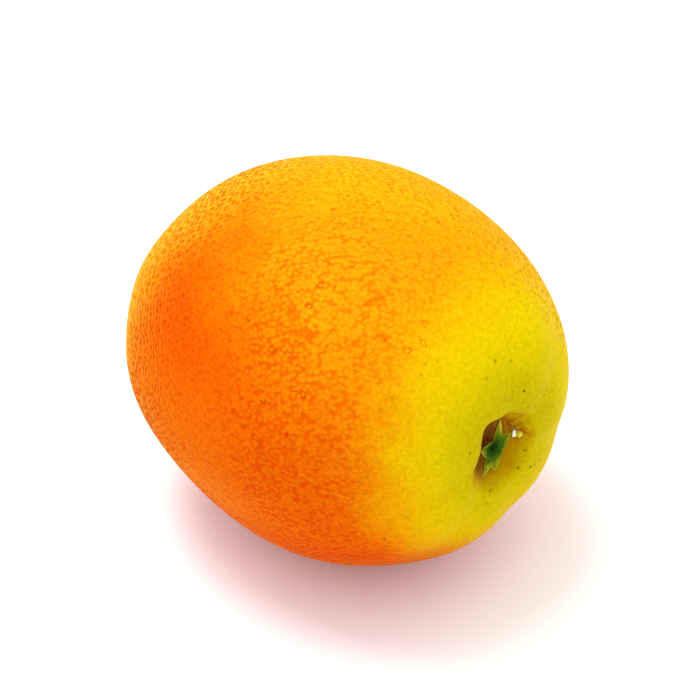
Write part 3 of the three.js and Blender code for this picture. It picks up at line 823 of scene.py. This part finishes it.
def oil_glands(tree, place, zones, colour):
    """Deeper orange, partly painted shade, and a dent in each pit and in the valleys between domes, with
    paler ridges round them.

    Returns the colour, the height, and how far a place is from its gland, in radii of a gland. The rind
    is pitted and domed in the same zones as its mesh, and their borders run gland by gland.
    """
    gland = add(tree, "Attribute", {}, "Vector", attribute_name="gland")
    sunk = add(tree, "Attribute", {}, "Fac", attribute_name="sunk")
    fold = add(tree, "Attribute", {}, "Fac", attribute_name="fold")
    relief = strength_of_relief(tree, zones)
    wander = add(tree, "TexNoise", {"Vector": place, "Scale": 1 / GLAND_WANDER, "Detail": 2}, "Color")
    reach, half = (GLAND_WANDER_REACH,) * 3, (-GLAND_WANDER_REACH / 2,) * 3
    wander = add(tree, "VectorMath", {0: wander, 1: reach, 2: half}, operation="MULTIPLY_ADD")
    wandered = add(tree, "VectorMath", {0: place, 1: wander}, operation="ADD")
    away = add(tree, "VectorMath", {0: wandered, 1: gland}, "Value", operation="DISTANCE")
    away = add(tree, "Math", {0: away, 1: GLAND_RADIUS}, operation="DIVIDE")

    # The zones, with borders that each gland moves by its depth.
    stemward = {0: zones.cheek, 1: CHEEK_SHIFT, 2: zones.stemward}
    stemward = add(tree, "Math", stemward, operation="MULTIPLY_ADD")
    deeper = {0: sunk, 1: -DEEP_STAY_PITTED, 2: USUAL_DEPTH * DEEP_STAY_PITTED}
    deeper = add(tree, "Math", deeper, operation="MULTIPLY_ADD")
    stemward = add(tree, "Math", {0: stemward, 1: deeper}, operation="ADD")
    pitted = add(tree, "MapRange", {"Value": stemward, FROM: PITTED}, **SMOOTH)
    domed = add(tree, "MapRange", {"Value": stemward, FROM: DOMED}, **SMOOTH)
    deeper = {0: sunk, 1: DEEP_BACK_PITTED, 2: -USUAL_DEPTH * DEEP_BACK_PITTED}
    deeper = add(tree, "Math", deeper, operation="MULTIPLY_ADD")
    behind = add(tree, "Math", {0: zones.backward, 1: deeper}, operation="ADD")
    behind = add(tree, "MapRange", {"Value": behind, FROM: BACK_PITTED}, **SMOOTH)
    pitted = add(tree, "Math", {0: pitted, 1: behind}, operation="MAXIMUM")
    before = add(tree, "Math", {0: 1, 1: behind}, operation="SUBTRACT")
    domed = add(tree, "Math", {0: domed, 1: before}, operation="MULTIPLY")

    pit = add(tree, "VectorMath", {0: wandered, 1: gland}, operation="SUBTRACT")
    pit = add(tree, "VectorMath", {0: pit, 1: (PIT_NARROWNESS, 1, 1)}, operation="MULTIPLY")
    pit = add(tree, "VectorMath", {0: pit}, "Value", operation="LENGTH")
    pit = add(tree, "Math", {0: pit, 1: GLAND_RADIUS}, operation="DIVIDE")
    pit = add(tree, "MapRange", {"Value": pit, FROM: PIT_EDGE}, **SMOOTH)
    for share in (sunk, pitted, relief):
        pit = add(tree, "Math", {0: pit, 1: share}, operation="MULTIPLY")

    dome = add(tree, "VectorMath", {0: wander, 1: (DOME_WANDER,) * 3, 2: place}, operation="MULTIPLY_ADD")
    dome = add(tree, "VectorMath", {0: dome, 1: gland}, operation="SUBTRACT")
    dome = {"Vector": dome, "Rotation": (0, 0, GRAIN_HEADING), "Scale": (DOME_STRETCH, 1, 1)}
    dome = add(tree, "Mapping", dome, vector_type="TEXTURE")
    dome = add(tree, "VectorMath", {0: dome}, "Value", operation="LENGTH")
    dome = add(tree, "Math", {0: dome, 1: GLAND_RADIUS}, operation="DIVIDE")
    dome = add(tree, "MapRange", {"Value": dome, FROM: DOME_EDGE}, **SMOOTH)

    # Here and there the valleys between domes close up, so that domes run together into ridges.
    ripple = {"Vector": place, "Rotation": (0, 0, GRAIN_HEADING), "Scale": (GRAIN_STRETCH, 1, 1)}
    ripple = add(tree, "Mapping", ripple, vector_type="TEXTURE")
    ripple = {"Vector": ripple, "Scale": 1 / RIDGE_RIPPLE, "Detail": 1.5, "Roughness": 0.6}
    ripple = add(tree, "TexNoise", ripple, "Fac")
    ripple = add(tree, "MapRange", {"Value": ripple, FROM: (0.34, 0.66)}, **SMOOTH)
    open_share = add(tree, "Math", {0: ripple, 1: OPEN_VALLEY, 2: CLOSED_VALLEY}, operation="MULTIPLY_ADD")
    valley = add(tree, "Math", {0: 1, 1: dome}, operation="SUBTRACT")
    valley = add(tree, "Math", {0: valley, 1: open_share}, operation="MULTIPLY")
    valley = add(tree, "Math", {0: ripple, 1: RIPPLE_ON_DOMES, 2: valley}, operation="MULTIPLY_ADD")
    for share in (domed, relief):
        valley = add(tree, "Math", {0: valley, 1: share}, operation="MULTIPLY")

    height = add(tree, "Math", {0: valley, 1: VALLEY_SHARE, 2: pit}, operation="MULTIPLY_ADD")
    height = add(tree, "Math", {0: height, 1: -DEEPEST_PIT}, operation="MULTIPLY")
    # The tint is the glands' deeper orange with painted shade in pits, valleys and folds; it is fainter on
    # the upper side.
    faint = add(tree, "MapRange", {"Value": zones.sunward, FROM: FAINTER_ON_UPPER_SIDE, TO: (1, FAINTEST_TINT)})
    deep = add(tree, "Math", {0: pit, 1: valley}, operation="ADD")
    deep = add(tree, "Math", {0: deep, 1: faint}, operation="MULTIPLY")
    deep = add(tree, "Math", {0: fold, 1: FOLD_TINT, 2: deep}, operation="MULTIPLY_ADD", use_clamp=True)
    tint = add(tree, "MixRGB", {"Fac": zones.behind, "Color1": UNRIPE_PIT_TINT, "Color2": BACK_PIT_TINT})
    tint = add(tree, "MixRGB", {"Fac": zones.unripe, "Color1": PIT_TINT, "Color2": tint})
    colour = add(tree, "MixRGB", {"Fac": deep, "Color1": colour, "Color2": tint}, blend_type="MULTIPLY")
    return colour, height, away


def marks_on_glands(tree, colour, height, away):
    """Red freckles, dark specks, and swollen glands that have a groove round them, darkened with painted
    shade.
    """
    for mark, edge, tint in (("freckled", FRECKLE_EDGE, FRECKLE), ("speckled", SPECK_EDGE, DARK_SPECK)):
        marked = add(tree, "Attribute", {}, "Fac", attribute_name=mark)
        spot = add(tree, "MapRange", {"Value": away, FROM: edge}, **SMOOTH)
        spot = add(tree, "Math", {0: spot, 1: marked}, operation="MULTIPLY")
        colour = add(tree, "MixRGB", {"Fac": spot, "Color1": colour, "Color2": tint})
    swollen = add(tree, "Attribute", {}, "Fac", attribute_name="swollen")
    knob = add(tree, "MapRange", {"Value": away, FROM: KNOB_EDGE}, **SMOOTH)
    knob = add(tree, "Math", {0: knob, 1: swollen}, operation="MULTIPLY")
    height = add(tree, "Math", {0: knob, 1: KNOB_HEIGHT, 2: height}, operation="MULTIPLY_ADD")
    groove = add(tree, "MapRange", {"Value": away, FROM: GROOVE_EDGE}, **SMOOTH)
    groove = add(tree, "Math", {0: groove, 1: swollen}, operation="MULTIPLY")
    colour = add(tree, "MixRGB", {"Fac": groove, "Color1": colour, "Color2": PIT_TINT}, blend_type="MULTIPLY")
    return colour, height


def waxy_orange_rind():
    """Fresh orange rind, grown over oil glands with a skin of natural wax.

    The wax gives it a soft gloss with a warm sheen, the glands a pebbled surface, and ripening its zones of
    colour, from deep orange to the yellow, unripe stem end. Painted light on the upper side and at the
    blossom end's rim, and painted shade low down, in the stem pit and in the glands' pits, are mixed into
    these colours.
    """
    material, tree = new_material("waxy_orange_rind")
    place = add(tree, "TexCoord", output="Object")
    place = add(tree, "VectorMath", {0: place, 1: (1 / MM,) * 3}, operation="MULTIPLY")  # in millimetres
    zones = zones_of_rind(tree, place)
    colour = ripening_colours(tree, place, zones)
    colour = stem_pit_stains_and_shade(tree, place, zones, colour)
    colour, height, away = oil_glands(tree, place, zones, colour)
    colour, height = marks_on_glands(tree, colour, height, away)
    bump = add(tree, "Bump", {"Height": height, "Strength": 1.0, "Distance": 2 * PIT_OVER_GLAND * MM})
    sockets = {
        "Base Color": colour,
        "Roughness": 0.35,
        "IOR": 1.03,  # wax has 1.44, but dull, pebbled wax mirrors far less
        "Sheen Weight": 0.45,
        "Sheen Roughness": 0.3,
        "Sheen Tint": WAX_SHEEN,
        "Normal": bump,
    }
    add(tree, "OutputMaterial", {"Surface": add(tree, "BsdfPrincipled", sockets)})
    return material


SEPAL_GRAIN = 0.625  # in mm. The real one, of about 0.1 mm, is too fine to show, so it is drawn coarser
SEPAL_GREENS = ((0.08, "#16280A"), (0.26, "#2A4C08"), (0.4, "#4E6C0A"), (0.54, "#8A8E14"), (0.74, "#BCAE26"))
SEPAL_KEEL = "#3C4C06"
SEPAL_MARGIN = "#B8AC28"
SEPAL_UNDERSIDE = "#9A6A24"
SEPAL_GRAIN_SHARE = 0.5  # how far the grain moves the greens along a sepal, from one side to the other
KEEL_EDGE = (0.55, 1)  # shares of the way from a sepal's edge to its middle line
KEEL_SHARE = 0.6
MARGIN_EDGE = (0.88, 1)  # and from the calyx's middle to its edge
MARGIN_SHARE = 0.5
SEPAL_GRAIN_DEPTH = 0.3


def leathery_green_sepals():
    """A citrus calyx: tough green sepals, which are darkest in the cup and dried to straw at their edges.

    They grew with a short, rough grain, which gives them a dull surface.
    """
    material, tree = new_material("leathery_green_sepals")
    place = add(tree, "TexCoord", output="Object")
    place = add(tree, "VectorMath", {0: place, 1: (1 / MM,) * 3}, operation="MULTIPLY")
    grain = {"Vector": place, "Scale": 1 / SEPAL_GRAIN, "Detail": 4, "Roughness": 0.65}
    grain = add(tree, "TexNoise", grain, "Fac")
    out = add(tree, "Attribute", {}, "Fac", attribute_name="out")
    out = add(tree, "Math", {0: grain, 1: SEPAL_GRAIN_SHARE, 2: out}, operation="MULTIPLY_ADD")
    out = add(tree, "Math", {0: out, 1: SEPAL_GRAIN_SHARE / 2}, operation="SUBTRACT")
    colour = add(tree, "ValToRGB", {"Fac": out}, "Color", SEPAL_GREENS)
    keel = add(tree, "Attribute", {}, "Fac", attribute_name="keel")
    keel = add(tree, "MapRange", {"Value": keel, FROM: KEEL_EDGE, "To Max": KEEL_SHARE}, **SMOOTH)
    colour = add(tree, "MixRGB", {"Fac": keel, "Color1": colour, "Color2": SEPAL_KEEL})
    margin = add(tree, "Attribute", {}, "Fac", attribute_name="edge")
    margin = add(tree, "MapRange", {"Value": margin, FROM: MARGIN_EDGE, "To Max": MARGIN_SHARE}, **SMOOTH)
    colour = add(tree, "MixRGB", {"Fac": margin, "Color1": colour, "Color2": SEPAL_MARGIN})
    below = add(tree, "Attribute", {}, "Fac", attribute_name="below")
    colour = add(tree, "MixRGB", {"Fac": below, "Color1": colour, "Color2": SEPAL_UNDERSIDE})
    bump = add(tree, "Bump", {"Height": grain, "Strength": 0.7, "Distance": SEPAL_GRAIN_DEPTH * MM})
    # Leaf has an IOR of 1.4, but down in the pit it mirrors little.
    sockets = {"Base Color": colour, "Roughness": 0.5, "IOR": 1.05, "Normal": bump}
    add(tree, "OutputMaterial", {"Surface": add(tree, "BsdfPrincipled", sockets)})
    return material


SAP_YELLOW = "#D8CC14"
# painted highlight on the drop's smaller lobe
SAP_PAINTED_HIGHLIGHT = "#FFFFF0"


def dried_citrus_sap():
    """Sap that ran out and set hard: a glossy, slightly clear yellow, with a painted white highlight on its
    smaller lobe.
    """
    material, tree = new_material("dried_citrus_sap")
    # The attribute named dried marks the lobe that is painted white as a highlight.
    dried = add(tree, "Attribute", {}, "Fac", attribute_name="dried")
    colour = add(tree, "MixRGB", {"Fac": dried, "Color1": SAP_YELLOW, "Color2": SAP_PAINTED_HIGHLIGHT})
    sockets = {"Base Color": colour, "Roughness": 0.08, "IOR": 1.48, "Transmission Weight": 0.15}
    add(tree, "OutputMaterial", {"Surface": add(tree, "BsdfPrincipled", sockets)})
    return material


def matt_white_paper():
    """Studio background paper, bleached and uncoated: white, with no gloss, and it takes a soft shadow."""
    material, tree = new_material("matt_white_paper")
    add(tree, "OutputMaterial", {"Surface": add(tree, "BsdfDiffuse", {"Color": "#FAFAFA"})})
    return material


# ---- Pieces ----

rind = rind_piece()
rind.data.materials.append(waxy_orange_rind())
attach(rind, "root")
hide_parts("fruit")

calyx = calyx_piece()
calyx.data.materials.append(leathery_green_sepals())
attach(calyx, "root")
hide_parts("calyx")

sap = sap_piece()
sap.data.materials.append(dried_citrus_sap())
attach(sap, "root")
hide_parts("sap_bead")

# ---- Floor, light and camera ----

FLOOR_HALF = 3000
CAMERA_AZIMUTH = math.radians(45.96)
CAMERA_ELEVATION = math.radians(36.87)
CAMERA_DISTANCE = 450
SENSOR_WIDTH = 36
PIXELS_PER_MM = 5.054  # at the fruit's middle, in a frame 700 pixels wide
FRAME_PIXELS = 700
AIM_RIGHT = 0.435  # of the fruit's middle, in mm
AIM_UP = 1.377
MIDDLE = Vector((0, 0, AXIS_HEIGHT))
WALLS_BRIGHTNESS = 1.15

corners = [(x * FLOOR_HALF, y * FLOOR_HALF, 0) for x, y in ((-1, -1), (1, -1), (1, 1), (-1, 1))]
floor = mesh_object("floor", corners, [(0, 1, 2, 3)])
floor.data.materials.append(matt_white_paper())

back = Vector(
    (
        math.sin(CAMERA_AZIMUTH) * math.cos(CAMERA_ELEVATION),
        -math.cos(CAMERA_AZIMUTH) * math.cos(CAMERA_ELEVATION),
        math.sin(CAMERA_ELEVATION),
    )
)
right = Vector((0, 0, 1)).cross(back).normalized()
up = back.cross(right)
camera_data = bpy.data.cameras.new("camera")
camera_data.sensor_width = SENSOR_WIDTH
camera_data.lens = SENSOR_WIDTH * PIXELS_PER_MM * CAMERA_DISTANCE / FRAME_PIXELS
camera_data.clip_start = 0.01
camera_data.clip_end = 20
camera = bpy.data.objects.new("camera", camera_data)
bpy.context.scene.collection.objects.link(camera)
camera.rotation_mode = "QUATERNION"
camera.rotation_quaternion = back.to_track_quat("Z", "Y")
camera.location = (MIDDLE + AIM_RIGHT * right + AIM_UP * up + CAMERA_DISTANCE * back) * MM
bpy.context.scene.camera = camera

world = bpy.data.worlds.new("studio")
bpy.context.scene.world = world
world.use_nodes = True
walls = world.node_tree.nodes["Background"].inputs
walls["Color"].default_value = (1, 1, 1, 1)
walls["Strength"].default_value = WALLS_BRIGHTNESS


def softbox(name, towards, distance, size, watts):
    """A square area light at a distance from the fruit's middle, in mm, that faces it."""
    data = bpy.data.lights.new(name, "AREA")
    data.size = size * MM
    data.energy = watts
    lamp = bpy.data.objects.new(name, data)
    bpy.context.scene.collection.objects.link(lamp)
    direction = Vector(towards).normalized()
    lamp.location = (MIDDLE + distance * direction) * MM
    lamp.rotation_mode = "QUATERNION"
    lamp.rotation_quaternion = direction.to_track_quat("Z", "Y")


softbox("overhead_softbox", towards=(-0.3, -0.1, 0.95), distance=900, size=400, watts=5.2)

bpy.context.scene.view_settings.view_transform = "Standard"
